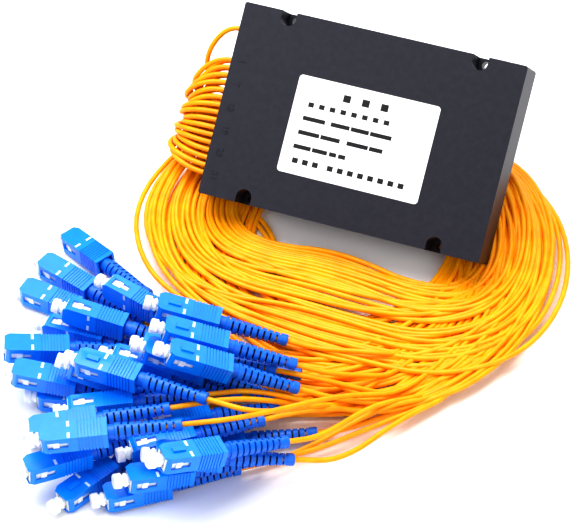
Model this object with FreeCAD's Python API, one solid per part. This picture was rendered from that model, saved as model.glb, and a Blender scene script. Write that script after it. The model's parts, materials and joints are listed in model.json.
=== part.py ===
import FreeCAD, Part
import math
import os

# A one-to-thirty-two optical splitter in a flat plastic box. Thirty-three thin fibre leads leave
# one end of the box, turn under it, lie on the ground as a coil, and end in a heap of push-pull
# connectors with dust caps. The box lies tilted on its own coil, its far long side raised.
# Millimetres, +Z up. The origin is the middle of the box's outer block.

Vector = FreeCAD.Vector

# ---- box ----
BOX_LENGTH = 120.0
BOX_WIDTH = 80.0
BOX_HEIGHT = 18.0
BOX_TILT = 44.0                # degrees between the box and the ground
LOW_EDGE_HEIGHT = 6.0          # of the box's lowest edge above the ground
BOX_CORNER_RADIUS = 1.0
WALL = 2.2
COVER_THICKNESS = 2.0
COVER_LEDGE = 1.0              # width of the step that the back cover rests on
COVER_FIT = 0.1                # clearance all round the back cover

# ---- fixing ears, one near each corner ----
HOLE_DIAMETER = 3.4
HOLE_SPACING = 81.4            # along the box
HOLE_INSET = 2.7               # from the long side to the hole's axis
EAR_THICKNESS = 6.0
RECESS_WIDTH = 6.5             # room for the screw's head above the ear
POST_WALL = 1.6                # of the pillar round the recess

# ---- label ----
LABEL_LENGTH = 60.0
LABEL_WIDTH = 40.0
LABEL_THICKNESS = 0.2
LABEL_RADIUS = 1.5
LABEL_OFFSET = -3.5            # of its middle, across the box

# ---- ports in the end wall ----
PORT_COLUMNS = 16
PORT_PITCH = 3.17
PORT_ROW_OFFSET = 2.2          # of each row from the box's middle plane
FIRST_PORT = 16.0              # place of the top column across the box
INPUT_PORT = 29.5              # place of the input port across the box
SEAL_MARGIN = 1.2              # of the seal past the leads
SEAL_DEPTH = 3.0
STUB_LENGTH = 6.0              # of each lead before the leads gather

# ---- inner optics ----
PAD_INSET = 2.0                # of the adhesive pad from each end of the splitter tube
PAD_WIDTH = 5.0
PAD_THICKNESS = 0.8
TUBE_LENGTH = 50.0
TUBE_WIDTH = 7.0
TUBE_HEIGHT = 4.0
TUBE_WALL = 0.4
TUBE_OFFSET = 20.0             # of the splitter tube across the box
TUBE_PLUG_LENGTH = 2.0
CHIP_LENGTH = 20.0
CHIP_WIDTH = 4.0
CHIP_HEIGHT = 1.6
INPUT_ARRAY_LENGTH = 5.0
INPUT_ARRAY_WIDTH = 2.5
OUTPUT_ARRAY_LENGTH = 7.0
FANOUT_LENGTH = 12.0
FANOUT_HEIGHT = 7.0
RIBBON_THICKNESS = 1.2
RIBBON_HEIGHT = 2.2
RIBBON_RADIUS = 14.0
RIBBON_GAP = 3.2               # between the turned ribbon and the box's end wall
INPUT_FIBRE_DIAMETER = 0.9
INPUT_FIBRE_RUN = 10.5         # straight stretch at each end of the input fibre

# ---- leads ----
LEAD_DIAMETER = 2.0
LEAD_SIDES = 6
BEND_SHARE = 0.45              # share of the shorter run that a bend takes up

# ---- coil on the ground and the gathered turn at the ports ----
COIL_CENTRE = (8.0, -34.0)
COIL_RADIUS = 88.5
COIL_HOLE_CENTRE = (2.0, -15.0)
COIL_HOLE_RADII = (40.0, 25.0)
COIL_HEIGHT = 7.0
COIL_LOW_HEIGHT = 5.2          # where the coil passes under the box's low edge
COIL_PEAK_PLACE = 10.0         # across the ground, where the box rests on the coil
COIL_BACK_SHOULDER = (30.0, 30.0)
COIL_BACK_HEIGHT = 18.0
COIL_BACK = 38.0
COIL_FRONT_SLOPE = (26.0, 12.0)  # where the coil thins, in front of the box's low edge
COIL_SIDES = 28
CUT_MARGIN = 1.0               # of a cutting shape past what it cuts
COIL_GAP = 0.4                 # between the coil and the box
TURN_REACH = 20.0              # of the gathered turn's lower leg under the box
TURN_START = 2.0               # from the stubs' ends to where the turn begins
TURN_DEPTH = 14.35             # from the ports to the axis that it turns about
TURN_HALF_THICKNESS = 4.0

# ---- connector ----
GRIP_LENGTH = 25.0
GRIP_WIDTH = 9.0
GRIP_HEIGHT = 7.4
GRIP_NOSE = 2.0                # length of the slanted front corners
GRIP_NOSE_DEPTH = 1.3
GRIP_TRAVEL = 2.0              # of the grip along the plug when it is pulled to unlatch
PLUG_LENGTH = 17.9
PLUG_WIDTH = 7.0
PLUG_HEIGHT = 5.8
PLUG_RECESS = 0.5              # of the plug behind the grip's front
PLUG_BORE_WIDTH = 5.0
PLUG_BORE_HEIGHT = 4.6
SLIDE_FIT = 0.1                # between the grip and what slides in it
LATCH_PLACE = 4.8              # of the latch lug's front behind the grip's front
LATCH_LENGTH = 2.2
LATCH_HEIGHT = 3.0
LATCH_RISE = 0.6
KEY_PLACE = 4.0
KEY_LENGTH = 5.0
KEY_WIDTH = 2.2
KEY_HEIGHT = 0.8
FERRULE_DIAMETER = 2.5
FERRULE_TIP = 0.4              # in front of the grip
FERRULE_LENGTH = 10.0
SPRING_WIDTH = 4.2
SPRING_LENGTH = 5.0
STOP_WIDTH = 4.8
STOP_REACH = 3.7               # of the stop body behind the plug, up to the boot
BOOT_LENGTH = 30.3
BOOT_WIDTH = 5.8
BOOT_END_WIDTH = 3.8
BOOT_SIDES = 6
SLOTS_PER_SIDE = 2
SLOT_PITCH = 8.0
SLOT_WIDTH = 1.0
FIRST_SLOT = 9.0               # from the boot's front
CAP_NECK_WIDTH = 4.2
CAP_NECK_LENGTH = 8.0
CAP_INSERTION = 4.4
CAP_HEAD_WIDTH = 6.2
CAP_HEAD_LENGTH = 2.9
CAP_BORE = 2.7
CAP_BORE_LENGTH = 6.0
CAP_SIDES = 6

# Where each connector lies: x and y of the middle of the grip's front, the height of its axis
# above the ground, the heading of the front in degrees, how far the front dips, and the roll.
CONNECTORS = [
    (-106, -64, 4.6, 153, 6, 180),
    (-109, -82, 5.7, 165, -3, 180),
    (-110, -98, 5.6, 175, -3, 180),
    (-75, -92, 14.4, 167, -4, 90),
    (-48, -104, 24.2, 193, -15, 0),
    (-35, -126, 37.4, 196, -18, 0),
    (-28, -138, 39.5, 200, -23, 0),
    (-84, -112, 17.3, 184, -8, 90),
    (-93, -113, 5.4, 182, -1, 90),
    (-97, -140, 18.2, 207, -9, 180),
    (-89, -149, 17.1, 193, -9, 180),
    (-61, -148, 32.6, 181, -3, 0),
    (-80, -148, 5.5, 196, -3, 180),
    (-60, -162, 19.4, 208, 1, 90),
    (-59, -186, 29.5, 207, 1, 180),
    (-64, -191, 14.9, 225, -5, 180),
    (-30, -158.5, 18.6, 218, -8, 90),
    (-31, -170, 15.7, 220, -2, 270),
    (-12, -183, 33.5, 226, -17, 0),
    (-50, -192, 4.2, 244, 0, 0),
    (-35, -186, 5.5, 219, -3, 180),
    (-27, -182, 15.1, 219, -9, 180),
    (-54, -132, 4.4, 194, 6, 0),
    (-98, -127, 5.6, 186, -3, 180),
    (-19, -153, 5.0, 208, 0, 90),
    (-55, -132, 20.9, 185, -8, 90),
    (-38, -117, 10.6, 188, 3, 0),
    (-46, -122, 20.7, 188, -3, 0),
    (-41, -131, 29.5, 186, -16, 0),
    (-67, -144, 24.5, 189, -16, 0),
    (-19, -173, 22.4, 209, -13, 0),
    (-66.5, -179.5, 23.9, 211, 2, 180),
    (-70, -167, 4.7, 206, 8, 180),
]

# Each lead's way from its connector to the coil: how far it runs on straight behind the boot,
# then a point on the way and a point in the coil. Heights are above the ground.
TAILS = [
    (15, (-26, -97, 9), (-14, -99, 6)),
    (10.5, (-30, -96, 4), (-16, -96, 3)),
    (12, (-24, -105, 2), (-4, -104, 2)),
    (12, (4, -105, 9), (18, -105, 6)),
    (12, (36, -86, 10), (46, -78, 4)),
    (13, (36, -99, 10), (46, -91, 6)),
    (12.5, (42, -111, 9), (55, -103, 4)),
    (12.5, (-6, -104, 4), (8, -104, 4)),
    (14.5, (-10, -108, 3), (0, -109, 3)),
    (9, (-27, -110, 3), (-12, -112, 3)),
    (20.5, (0, -122, 3), (11, -118, 2)),
    (21, (29, -118, 12), (43, -108, 2)),
    (13.5, (4, -123, 4), (17, -118, 4)),
    (20, (41, -117, 8), (62, -99, 4)),
    (23.5, (34, -115, 16), (53, -100, 6)),
    (22, (12, -124, 5), (32, -116, 4)),
    (13.5, (31, -108, 7), (40, -100, 6)),
    (13.5, (32, -120, 12), (40, -113, 6)),
    (15, (45, -112, 12), (62, -94, 3)),
    (14.5, (-6, -122, 6), (7, -120, 6)),
    (21.5, (47, -111, 10), (66, -94, 4)),
    (19.5, (48, -117, 6), (63, -99, 4)),
    (11.5, (28, -114, 4), (42, -112, 3)),
    (14, (-17, -113, 5), (-4, -113, 4)),
    (10.5, (50, -109, 4), (62, -98, 3)),
    (10, (20, -112, 8), (33, -102, 6)),
    (9, (38, -108, 8), (46, -102, 4)),
    (14.5, (36, -106, 10), (48, -100, 4)),
    (13, (38, -110, 9), (52, -102, 4)),
    (16, (14, -120, 2), (28, -116, 2)),
    (19, (55, -111, 6), (72, -88, 4)),
    (24.5, (18, -122, 11), (40, -112, 4)),
    (10, (-1, -128, 9), (13, -118, 4)),
]

# The input lead's way into the gathered turn, measured from its port: out from the box's end,
# across the box and through it.
INPUT_ROUTE = [(0.0, 0.0, 0.0), (12.0, 0.0, 0.0), (18.5, -8.5, -4.0), (17.0, -17.5, -11.0)]

# ---- worked out from the above ----
TILT = math.radians(BOX_TILT)
BOX_CENTRE_HEIGHT = LOW_EDGE_HEIGHT + (BOX_WIDTH * math.sin(TILT) + BOX_HEIGHT * math.cos(TILT)) / 2
HALF_LENGTH = BOX_LENGTH / 2
HALF_WIDTH = BOX_WIDTH / 2
HALF_HEIGHT = BOX_HEIGHT / 2
LAST_PORT = FIRST_PORT - (PORT_COLUMNS - 1) * PORT_PITCH
CEILING = HALF_HEIGHT - WALL                     # inside face under the labelled side
PAD_FACE = CEILING - PAD_THICKNESS
CHIP_SEAT = PAD_FACE - TUBE_WALL
SEAL_WIDTH = LEAD_DIAMETER + 2 * SEAL_MARGIN
TURN_BOTTOM = LAST_PORT - LEAD_DIAMETER / 2      # place of the gathered turn across the box
TURN_TOP = FIRST_PORT - LEAD_DIAMETER / 2
LEAD_AREA = LEAD_SIDES * (LEAD_DIAMETER / 2) ** 2 * math.tan(math.pi / LEAD_SIDES)


def block(x0, x1, y0, y1, z0, z1):
    return Part.makeBox(x1 - x0, y1 - y0, z1 - z0, Vector(x0, y0, z0))


def on_box(shape):
    """Tilt a piece modelled on the flat box."""
    shape.rotate(Vector(0, 0, 0), Vector(1, 0, 0), BOX_TILT)
    return shape


def on_ground(shape):
    """Lower a piece modelled above the ground to the frame of the box's middle."""
    shape.translate(Vector(0, 0, -BOX_CENTRE_HEIGHT))
    return shape


def polygon(sides, width, x):
    """A regular outline across X, with its flats up and down, of the given width over flats."""
    radius = width / 2 / math.cos(math.pi / sides)
    turn = math.pi / sides
    points = [
        Vector(x, radius * math.sin(turn + 2 * math.pi * i / sides),
               radius * math.cos(turn + 2 * math.pi * i / sides))
        for i in range(sides)
    ]
    return Part.makePolygon(points + points[:1])


def bar(sides, width, x0, x1, end_width=None):
    """A straight or tapered bar along X with flat sides."""
    start = polygon(sides, width, x0)
    end = polygon(sides, end_width or width, x1)
    a = [v.Point for v in start.OrderedVertexes]
    b = [v.Point for v in end.OrderedVertexes]
    faces = [Part.Face(start), Part.Face(end)]
    for i in range(sides):
        k = (i + 1) % sides
        faces.append(Part.Face(Part.makePolygon([a[i], a[k], b[k], b[i], a[i]])))
    return Part.makeSolid(Part.makeShell(faces))


# ---- box ----
def at_ears():
    """The axis of each fixing hole, with the side of the box that it lies on."""
    y = HALF_WIDTH - HOLE_INSET
    return [(sx * HOLE_SPACING / 2, sy * y, sy) for sx in (-1, 1) for sy in (-1, 1)]


def pillars(clearance, z0, z1):
    """The square pillars round the fixing holes, joined to the long walls."""
    half = RECESS_WIDTH / 2 + POST_WALL + clearance
    shapes = []
    for x, y, side in at_ears():
        low, high = sorted((y - side * half, side * (HALF_WIDTH + CUT_MARGIN)))
        shapes.append(block(x - half, x + half, low, high, z0, z1))
    return shapes


def screw_recesses():
    """A U above each ear, open to the long side, for the screw's head."""
    z0 = -HALF_HEIGHT + EAR_THICKNESS
    shapes = []
    for x, y, side in at_ears():
        low, high = sorted((y, side * (HALF_WIDTH + CUT_MARGIN)))
        half = RECESS_WIDTH / 2
        rounded = Part.makeCylinder(half, HALF_HEIGHT - z0, Vector(x, y, z0))
        shapes.append(rounded.fuse(block(x - half, x + half, low, high, z0, HALF_HEIGHT)))
    return shapes


def seal_space(depth):
    """The slot for the output leads' seal, from the box's end inwards."""
    return block(
        -HALF_LENGTH, -HALF_LENGTH + depth,
        LAST_PORT - SEAL_WIDTH / 2, FIRST_PORT + SEAL_WIDTH / 2,
        -PORT_ROW_OFFSET - SEAL_WIDTH / 2, PORT_ROW_OFFSET + SEAL_WIDTH / 2,
    )


def input_space(depth):
    return block(
        -HALF_LENGTH, -HALF_LENGTH + depth,
        INPUT_PORT - SEAL_WIDTH / 2, INPUT_PORT + SEAL_WIDTH / 2,
        -SEAL_WIDTH / 2, SEAL_WIDTH / 2,
    )


def box_shell():
    outer = block(-HALF_LENGTH, HALF_LENGTH, -HALF_WIDTH, HALF_WIDTH, -HALF_HEIGHT, HALF_HEIGHT)
    upright = [
        e for e in outer.Edges if abs(e.tangentAt(e.FirstParameter).z) > 0.9
    ]
    outer = outer.makeFillet(BOX_CORNER_RADIUS, upright)
    inner_x = HALF_LENGTH - WALL
    inner_y = HALF_WIDTH - WALL
    hollow = block(-inner_x, inner_x, -inner_y, inner_y, -HALF_HEIGHT, CEILING)
    rim_x = inner_x + COVER_LEDGE
    rim_y = inner_y + COVER_LEDGE
    rim = block(-rim_x, rim_x, -rim_y, rim_y, -HALF_HEIGHT, -HALF_HEIGHT + COVER_THICKNESS)
    shell = outer.cut(hollow.fuse(rim).cut(pillars(0, -HALF_HEIGHT, HALF_HEIGHT)))
    holes = [
        Part.makeCylinder(HOLE_DIAMETER / 2, EAR_THICKNESS, Vector(x, y, -HALF_HEIGHT))
        for x, y, _ in at_ears()
    ]
    openings = [seal_space(SEAL_DEPTH), input_space(SEAL_DEPTH)]
    return on_box(shell.cut(screw_recesses() + holes + openings))


def back_cover():
    half_x = HALF_LENGTH - WALL + COVER_LEDGE - COVER_FIT
    half_y = HALF_WIDTH - WALL + COVER_LEDGE - COVER_FIT
    low, high = -HALF_HEIGHT, -HALF_HEIGHT + COVER_THICKNESS
    plate = block(-half_x, half_x, -half_y, half_y, low, high)
    return on_box(plate.cut(pillars(COVER_FIT, low, high)))


def label():
    half_x = LABEL_LENGTH / 2
    half_y = LABEL_WIDTH / 2
    plate = block(-half_x, half_x, LABEL_OFFSET - half_y, LABEL_OFFSET + half_y,
                  HALF_HEIGHT, HALF_HEIGHT + LABEL_THICKNESS)
    upright = [e for e in plate.Edges if abs(e.tangentAt(e.FirstParameter).z) > 0.9]
    return on_box(plate.makeFillet(LABEL_RADIUS, upright))


def port_seal():
    return on_box(seal_space(SEAL_DEPTH))


def input_seal():
    return on_box(input_space(SEAL_DEPTH))


# ---- inner optics, bonded under the labelled side ----
def adhesive_pad():
    half = TUBE_LENGTH / 2 - PAD_INSET
    return on_box(block(-half, half, TUBE_OFFSET - PAD_WIDTH / 2,
                        TUBE_OFFSET + PAD_WIDTH / 2, PAD_FACE, CEILING))


def tube_space(x0, x1, wall):
    half = TUBE_WIDTH / 2 - wall
    return block(x0, x1, TUBE_OFFSET - half, TUBE_OFFSET + half,
                 PAD_FACE - TUBE_HEIGHT + wall, PAD_FACE - wall)


def splitter_tube():
    half = TUBE_LENGTH / 2
    return on_box(tube_space(-half, half, 0).cut(tube_space(-half, half, TUBE_WALL)))


def tube_plugs():
    half = TUBE_LENGTH / 2
    ends = [tube_space(-half, -half + TUBE_PLUG_LENGTH, TUBE_WALL),
            tube_space(half - TUBE_PLUG_LENGTH, half, TUBE_WALL)]
    return on_box(Part.makeCompound(ends))


def seated(x0, x1, width):
    """A glass block on the inner floor of the splitter tube."""
    return on_box(block(x0, x1, TUBE_OFFSET - width / 2, TUBE_OFFSET + width / 2,
                        CHIP_SEAT - CHIP_HEIGHT, CHIP_SEAT))


def splitter_chip():
    return seated(-CHIP_LENGTH / 2, CHIP_LENGTH / 2, CHIP_WIDTH)


def input_array():
    return seated(-CHIP_LENGTH / 2 - INPUT_ARRAY_LENGTH, -CHIP_LENGTH / 2, INPUT_ARRAY_WIDTH)


def output_array():
    return seated(CHIP_LENGTH / 2, CHIP_LENGTH / 2 + OUTPUT_ARRAY_LENGTH, CHIP_WIDTH)


def fanout_block():
    x0 = -HALF_LENGTH + SEAL_DEPTH
    return on_box(block(x0, x0 + FANOUT_LENGTH, LAST_PORT, FIRST_PORT,
                        -FANOUT_HEIGHT / 2, FANOUT_HEIGHT / 2))


def ribbon_fibres():
    """The flat fibres stand on edge: out of the tube, round a half turn, to the fan-out."""
    turn_x = HALF_LENGTH - WALL - RIBBON_GAP - RIBBON_RADIUS - RIBBON_THICKNESS / 2
    turn_y = TUBE_OFFSET - RIBBON_RADIUS
    z0 = PAD_FACE - TUBE_HEIGHT / 2 - RIBBON_HEIGHT / 2
    z1 = z0 + RIBBON_HEIGHT
    outer = RIBBON_RADIUS + RIBBON_THICKNESS / 2
    inner = RIBBON_RADIUS - RIBBON_THICKNESS / 2
    centre = Vector(turn_x, turn_y, z0)
    ring = Part.makeCylinder(outer, RIBBON_HEIGHT, centre).cut(
        Part.makeCylinder(inner, RIBBON_HEIGHT, centre))
    half_ring = ring.common(block(turn_x, turn_x + outer, turn_y - outer, turn_y + outer, z0, z1))
    fanout_face = -HALF_LENGTH + SEAL_DEPTH + FANOUT_LENGTH
    out = block(TUBE_LENGTH / 2, turn_x, turn_y + inner, turn_y + outer, z0, z1)
    home = block(fanout_face, turn_x, turn_y - outer, turn_y - inner, z0, z1)
    return on_box(half_ring.fuse([out, home]).removeSplitter())


# ---- leads ----
def bend(before, corner, after):
    """Tangent points and middle point of the arc that rounds one corner of a route."""
    back = before - corner
    on = after - corner
    shorter = min(back.Length, on.Length)
    back.normalize()
    on.normalize()
    half_angle = back.getAngle(on) / 2
    cut = BEND_SHARE * shorter
    radius = cut * math.tan(half_angle)
    inward = back + on
    inward.normalize()
    middle = corner + inward * (radius / math.sin(half_angle) - radius)
    return corner + back * cut, middle, corner + on * cut, radius


def lead(points, diameter=LEAD_DIAMETER):
    """A lead along straight runs joined by tangent arcs, each as large as its runs allow."""
    points = [Vector(*p) for p in points]
    edges = []
    radii = []
    start = points[0]
    for before, corner, after in zip(points, points[1:], points[2:]):
        first, middle, last, radius = bend(before, corner, after)
        edges.append(Part.LineSegment(start, first).toShape())
        edges.append(Part.Arc(first, middle, last).toShape())
        radii.append(radius)
        start = last
    edges.append(Part.LineSegment(start, points[-1]).toShape())
    path = Part.Wire(edges)
    section = polygon(LEAD_SIDES, diameter, 0)
    heading = points[1] - points[0]
    section.Placement = FreeCAD.Placement(points[0], FreeCAD.Rotation(Vector(1, 0, 0), heading))
    tube = path.makePipeShell([section], True, True)
    area = LEAD_AREA * (diameter / LEAD_DIAMETER) ** 2
    return tube, radii, tube.Volume / (area * path.Length)


def report(name, leads):
    """Print the tightest bend and the worst volume ratio of a group of leads."""
    radii = [r for _, group, _ in leads for r in group]
    ratios = [ratio for _, _, ratio in leads]
    tightest = " tightest bend %.1f," % min(radii) if radii else ""
    print("%s:%s volume ratio %.3f to %.3f" % (name, tightest, min(ratios), max(ratios)))


def input_fibre():
    """The input lead's bare fibre, from the seal to the splitter tube."""
    x0 = -HALF_LENGTH + SEAL_DEPTH
    x1 = -TUBE_LENGTH / 2
    z1 = PAD_FACE - TUBE_HEIGHT / 2
    fibre = lead([
        (x0, INPUT_PORT, 0), (x0 + INPUT_FIBRE_RUN, INPUT_PORT, 0),
        (x1 - INPUT_FIBRE_RUN, TUBE_OFFSET, z1), (x1, TUBE_OFFSET, z1),
    ], INPUT_FIBRE_DIAMETER)
    report("input_fibre", [fibre])
    return on_box(fibre[0])


def port_leads():
    """Each output lead's straight start, and the input lead's way to the others."""
    stubs = []
    for column in range(PORT_COLUMNS):
        y = FIRST_PORT - column * PORT_PITCH
        for z in (-PORT_ROW_OFFSET, PORT_ROW_OFFSET):
            stubs.append(lead([(-HALF_LENGTH, y, z), (-HALF_LENGTH - STUB_LENGTH, y, z)]))
    route = [(-HALF_LENGTH - out, INPUT_PORT + across, z) for out, across, z in INPUT_ROUTE]
    stubs.append(lead(route))
    report("port_leads", stubs)
    return on_box(Part.makeCompound([s[0] for s in stubs]))


def port_turn():
    """The outer shape of the gathered leads that turn round the box's end and under it."""
    axis_x = -HALF_LENGTH - STUB_LENGTH - TURN_START
    axis_z = -TURN_DEPTH + TURN_HALF_THICKNESS
    outer = TURN_DEPTH
    inner = TURN_DEPTH - 2 * TURN_HALF_THICKNESS
    length = TURN_TOP - TURN_BOTTOM
    base = Vector(axis_x, TURN_BOTTOM, axis_z)
    along = Vector(0, 1, 0)
    ring = Part.makeCylinder(outer, length, base, along).cut(
        Part.makeCylinder(inner, length, base, along))
    bend_half = ring.common(
        block(axis_x - outer, axis_x, TURN_BOTTOM, TURN_TOP, axis_z - outer, axis_z + outer))
    upper = block(axis_x, -HALF_LENGTH - STUB_LENGTH, TURN_BOTTOM, TURN_TOP,
                  axis_z + inner, axis_z + outer)
    lower = block(axis_x, axis_x + TURN_REACH, TURN_BOTTOM, TURN_TOP,
                  axis_z - outer, axis_z - inner)
    return on_box(bend_half.fuse([upper, lower]).removeSplitter())


def oval(centre, radii, height):
    """An upright many-sided column on the ground."""
    turn = 2 * math.pi / COIL_SIDES
    points = [
        Vector(centre[0] + radii[0] * math.cos(turn * i), centre[1] + radii[1] * math.sin(turn * i))
        for i in range(COIL_SIDES)
    ]
    return Part.Face(Part.makePolygon(points + points[:1])).extrude(Vector(0, 0, height))


def coil():
    """The outer shape of all the turns: a ring on the ground that swells under the box."""
    cx, cy = COIL_CENTRE
    slope = math.tan(TILT)
    gap = COIL_GAP / math.cos(TILT)
    low_edge_y = -HALF_WIDTH * math.cos(TILT) + HALF_HEIGHT * math.sin(TILT)
    rise_y = low_edge_y + (COIL_LOW_HEIGHT - LOW_EDGE_HEIGHT + gap) / slope
    peak_z = LOW_EDGE_HEIGHT + slope * (COIL_PEAK_PLACE - low_edge_y) - gap
    reach = COIL_RADIUS + CUT_MARGIN
    front = cy - reach
    slope_front, slope_back = COIL_FRONT_SLOPE
    side = [
        (front, 0), (front, COIL_HEIGHT), (low_edge_y - slope_front, COIL_HEIGHT),
        (low_edge_y - slope_back, COIL_LOW_HEIGHT), (rise_y, COIL_LOW_HEIGHT),
        (COIL_PEAK_PLACE, peak_z), COIL_BACK_SHOULDER, (COIL_BACK, COIL_BACK_HEIGHT),
        (COIL_BACK, 0), (front, 0),
    ]
    outline = Part.makePolygon([Vector(cx - reach, y, z) for y, z in side])
    swell = Part.Face(outline).extrude(Vector(2 * reach, 0, 0))
    disc = oval((cx, cy), (COIL_RADIUS, COIL_RADIUS), peak_z)
    return on_ground(disc.common(swell).cut(oval(COIL_HOLE_CENTRE, COIL_HOLE_RADII, peak_z)))


# ---- connector, modelled with its front at X = 0 and its mating direction along +X ----
def grip():
    half_w = GRIP_WIDTH / 2
    half_h = GRIP_HEIGHT / 2
    nose_w = half_w - GRIP_NOSE_DEPTH
    outline = [
        (0, -nose_w), (0, nose_w), (-GRIP_NOSE, half_w), (-GRIP_LENGTH, half_w),
        (-GRIP_LENGTH, -half_w), (-GRIP_NOSE, -half_w), (0, -nose_w),
    ]
    plan = Part.makePolygon([Vector(x, y, -half_h) for x, y in outline])
    body = Part.Face(plan).extrude(Vector(0, 0, GRIP_HEIGHT))
    key = block(-KEY_PLACE - KEY_LENGTH, -KEY_PLACE, -KEY_WIDTH / 2, KEY_WIDTH / 2,
                half_h, half_h + KEY_HEIGHT)
    bore_w = PLUG_WIDTH / 2 + SLIDE_FIT
    bore_h = PLUG_HEIGHT / 2 + SLIDE_FIT
    seat = -PLUG_RECESS - PLUG_LENGTH - SLIDE_FIT
    bore = block(seat, 0, -bore_w, bore_w, -bore_h, bore_h)
    rear_w = BOOT_WIDTH / 2 / math.cos(math.pi / BOOT_SIDES) + SLIDE_FIT
    rear = block(-GRIP_LENGTH, seat, -rear_w, rear_w, -bore_h, bore_h)
    window_front = -LATCH_PLACE + SLIDE_FIT + GRIP_TRAVEL
    window_back = -LATCH_PLACE - LATCH_LENGTH - SLIDE_FIT
    window_h = LATCH_HEIGHT / 2 + SLIDE_FIT
    window = block(window_back, window_front, -half_w, half_w, -window_h, window_h)
    return body.fuse(key).cut([bore, rear, window]).removeSplitter()


def plug_frame():
    half_w = PLUG_WIDTH / 2
    half_h = PLUG_HEIGHT / 2
    body = block(-PLUG_RECESS - PLUG_LENGTH, -PLUG_RECESS, -half_w, half_w, -half_h, half_h)
    lug_w = half_w + LATCH_RISE
    lugs = block(-LATCH_PLACE - LATCH_LENGTH, -LATCH_PLACE, -lug_w, lug_w,
                 -LATCH_HEIGHT / 2, LATCH_HEIGHT / 2)
    bore = block(-PLUG_RECESS - PLUG_LENGTH, -PLUG_RECESS, -PLUG_BORE_WIDTH / 2,
                 PLUG_BORE_WIDTH / 2, -PLUG_BORE_HEIGHT / 2, PLUG_BORE_HEIGHT / 2)
    return body.fuse(lugs).cut(bore).removeSplitter()


def ferrule():
    return bar(LEAD_SIDES, FERRULE_DIAMETER, FERRULE_TIP, FERRULE_TIP - FERRULE_LENGTH)


def ferrule_spring():
    start = FERRULE_TIP - FERRULE_LENGTH
    half = SPRING_WIDTH / 2
    return block(start - SPRING_LENGTH, start, -half, half, -half, half)


def stop_body():
    front = FERRULE_TIP - FERRULE_LENGTH - SPRING_LENGTH
    rear = -PLUG_RECESS - PLUG_LENGTH - STOP_REACH
    half_w = STOP_WIDTH / 2
    half_h = PLUG_BORE_HEIGHT / 2
    return block(rear, front, -half_w, half_w, -half_h, half_h)


def boot():
    """The bend guard: a taper with slots that alternate from side to side."""
    front = -PLUG_RECESS - PLUG_LENGTH - STOP_REACH
    body = bar(BOOT_SIDES, BOOT_WIDTH, front, front - BOOT_LENGTH, BOOT_END_WIDTH)
    slots = []
    for i in range(2 * SLOTS_PER_SIDE):
        side = 1 if i % 2 else -1
        x = front - FIRST_SLOT - i * SLOT_PITCH / 2
        low, high = sorted((side * LEAD_DIAMETER / 2, side * BOOT_WIDTH))
        slots.append(block(x - SLOT_WIDTH, x, low, high, -BOOT_WIDTH, BOOT_WIDTH))
    return body.cut(slots)


def dust_cap():
    neck_end = CAP_NECK_LENGTH - CAP_INSERTION
    neck = bar(CAP_SIDES, CAP_NECK_WIDTH, neck_end, -CAP_INSERTION)
    head = bar(CAP_SIDES, CAP_HEAD_WIDTH, neck_end + CAP_HEAD_LENGTH, neck_end)
    bore = bar(CAP_SIDES, CAP_BORE, CAP_BORE_LENGTH - CAP_INSERTION, -CAP_INSERTION)
    return neck.fuse(head).cut(bore)


def placed(shape, connector):
    x, y, z, heading, dip, roll = connector
    turned = FreeCAD.Rotation(heading, dip, roll)
    result = shape.copy()
    result.Placement = FreeCAD.Placement(Vector(x, y, z - BOX_CENTRE_HEIGHT), turned)
    return result


def all_placed(make):
    shape = make()
    return Part.makeCompound([placed(shape, c) for c in CONNECTORS])


def behind(connector, distance):
    """A point on a connector's axis behind its boot, above the ground."""
    x, y, z, heading, dip, roll = connector
    reach = PLUG_RECESS + PLUG_LENGTH + STOP_REACH + BOOT_LENGTH + distance
    return Vector(x, y, z) + FreeCAD.Rotation(heading, dip, roll).multVec(Vector(-reach, 0, 0))


def tail_leads():
    leads = [
        lead([behind(connector, 0), behind(connector, run), on_the_way, in_the_coil])
        for connector, (run, on_the_way, in_the_coil) in zip(CONNECTORS, TAILS)
    ]
    report("tail_leads", leads)
    return on_ground(Part.makeCompound([t[0] for t in leads]))


SINGLE_PIECES = [
    box_shell, back_cover, label, port_seal, input_seal, adhesive_pad, splitter_tube, tube_plugs,
    splitter_chip, input_array, output_array, fanout_block, ribbon_fibres, input_fibre,
    port_leads, port_turn, coil, tail_leads,
]
CONNECTOR_PIECES = {
    "plug_frames": plug_frame,
    "ferrules": ferrule,
    "ferrule_springs": ferrule_spring,
    "stop_bodies": stop_body,
    "boots": boot,
    "dust_caps": dust_cap,
}


def main():
    os.makedirs("parts", exist_ok=True)
    for make in SINGLE_PIECES:
        make().exportStep("parts/%s.step" % make.__name__)
    for name, make in CONNECTOR_PIECES.items():
        all_placed(make).exportStep("parts/%s.step" % name)
    sleeve = grip()
    for number, connector in enumerate(CONNECTORS, 1):
        placed(sleeve, connector).exportStep("parts/grip_%02d.step" % number)


main()
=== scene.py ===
import json
import math
import random

import bmesh
import bpy
from mathutils import Euler, Matrix, Vector


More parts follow.
